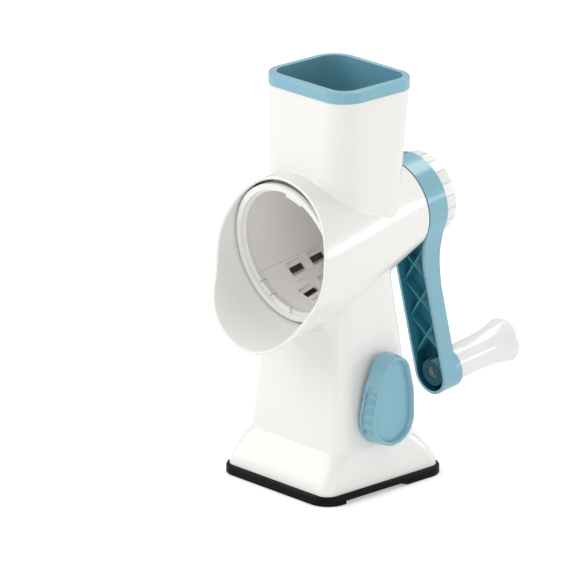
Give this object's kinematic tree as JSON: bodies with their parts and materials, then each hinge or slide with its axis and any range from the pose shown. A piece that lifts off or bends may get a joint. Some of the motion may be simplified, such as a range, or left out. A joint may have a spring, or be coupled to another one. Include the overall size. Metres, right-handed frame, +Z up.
{
  "type": "hand cranked rotary ice shaver",
  "caption": "Tabletop ice shaver: square feed hopper over a tilted drum grater with a hooded mouth, turned by a rear crank, on a flared base with a suction pad and side lever.",
  "frame": {"origin": "middle of the base on the floor, on the underside of the suction pad", "axes": "+Z up, -Y towards the discharge mouth, +Y towards the crank, +X towards the suction lever"},
  "size_m": [0.118, 0.2313, 0.283],
  "materials": {
    "housing_white": "glossy moulded plastic, warm white",
    "accent_blue": "glossy moulded plastic, grey blue",
    "drum_white": "satin moulded plastic, warm white",
    "pad_rubber": "matt black rubber",
    "blade_steel": "ground stainless steel",
    "hardware_steel": "turned steel",
    "insert_brass": "turned brass",
    "bush_nylon": "natural nylon",
    "base_plastic": "matt moulded plastic"
  },
  "bodies": {
    "housing": {"main_housing": "housing_white", "hopper_collar": "accent_blue", "rear_bush": "bush_nylon", "lever_bush": "bush_nylon", "base_plate": "base_plastic", "base_screws": "hardware_steel", "suction_pad": "pad_rubber"},
    "crank": {"drum_frame": "drum_white", "blade_panel_1": "drum_white", "blade_panel_2": "drum_white", "ice_blade_01": "blade_steel", "ice_blade_02": "blade_steel", "ice_blade_03": "blade_steel", "ice_blade_04": "blade_steel", "ice_blade_05": "blade_steel", "ice_blade_06": "blade_steel", "ice_blade_07": "blade_steel", "ice_blade_08": "blade_steel", "ice_blade_09": "blade_steel", "ice_blade_10": "blade_steel", "ice_blade_11": "blade_steel", "ice_blade_12": "blade_steel", "spindle": "hardware_steel", "spindle_screws": "hardware_steel", "hub_washer": "hardware_steel", "cap_nut": "housing_white", "cap_insert": "insert_brass", "crank_arm": "accent_blue", "handle_pin": "hardware_steel", "handle_nut": "hardware_steel"},
    "grip": {"grip_sleeve": "housing_white", "grip_plug": "housing_white"},
    "lever": {"lever_knob": "accent_blue", "knob_cover": "accent_blue", "lever_screw": "hardware_steel", "cam_shaft": "hardware_steel", "lift_cam": "bush_nylon", "cam_pin": "hardware_steel"},
    "plunger": {"plunger_yoke": "bush_nylon", "pad_stud": "hardware_steel", "stud_pin": "hardware_steel"}
  },
  "joints": [
    {"name": "crank_turn", "type": "hinge", "parent": "housing", "child": "crank", "pos_m": [0, 0, 0.1713], "axis": [0, 0.9921, 0.1253], "continuous": true},
    {"name": "grip_turn", "type": "hinge", "parent": "crank", "child": "grip", "pos_m": [0.0142, 0.01562, 0.04769], "axis": [0, 0.9921, 0.1253], "continuous": true},
    {"name": "suction_lever_turn", "type": "hinge", "parent": "housing", "child": "lever", "pos_m": [0, 0, 0.0536], "axis": [-1, 0, 0], "range_deg": [0, 90]},
    {"name": "pad_lift", "type": "slide", "parent": "housing", "child": "plunger", "axis": [0, 0, 1], "range_m": [0, 0.0036], "deforming": ["suction_pad"]}
  ],
  "couplings": [
    {"joint": "pad_lift", "follows": "suction_lever_turn", "m_per_rad": 0.0022282}
  ]
}
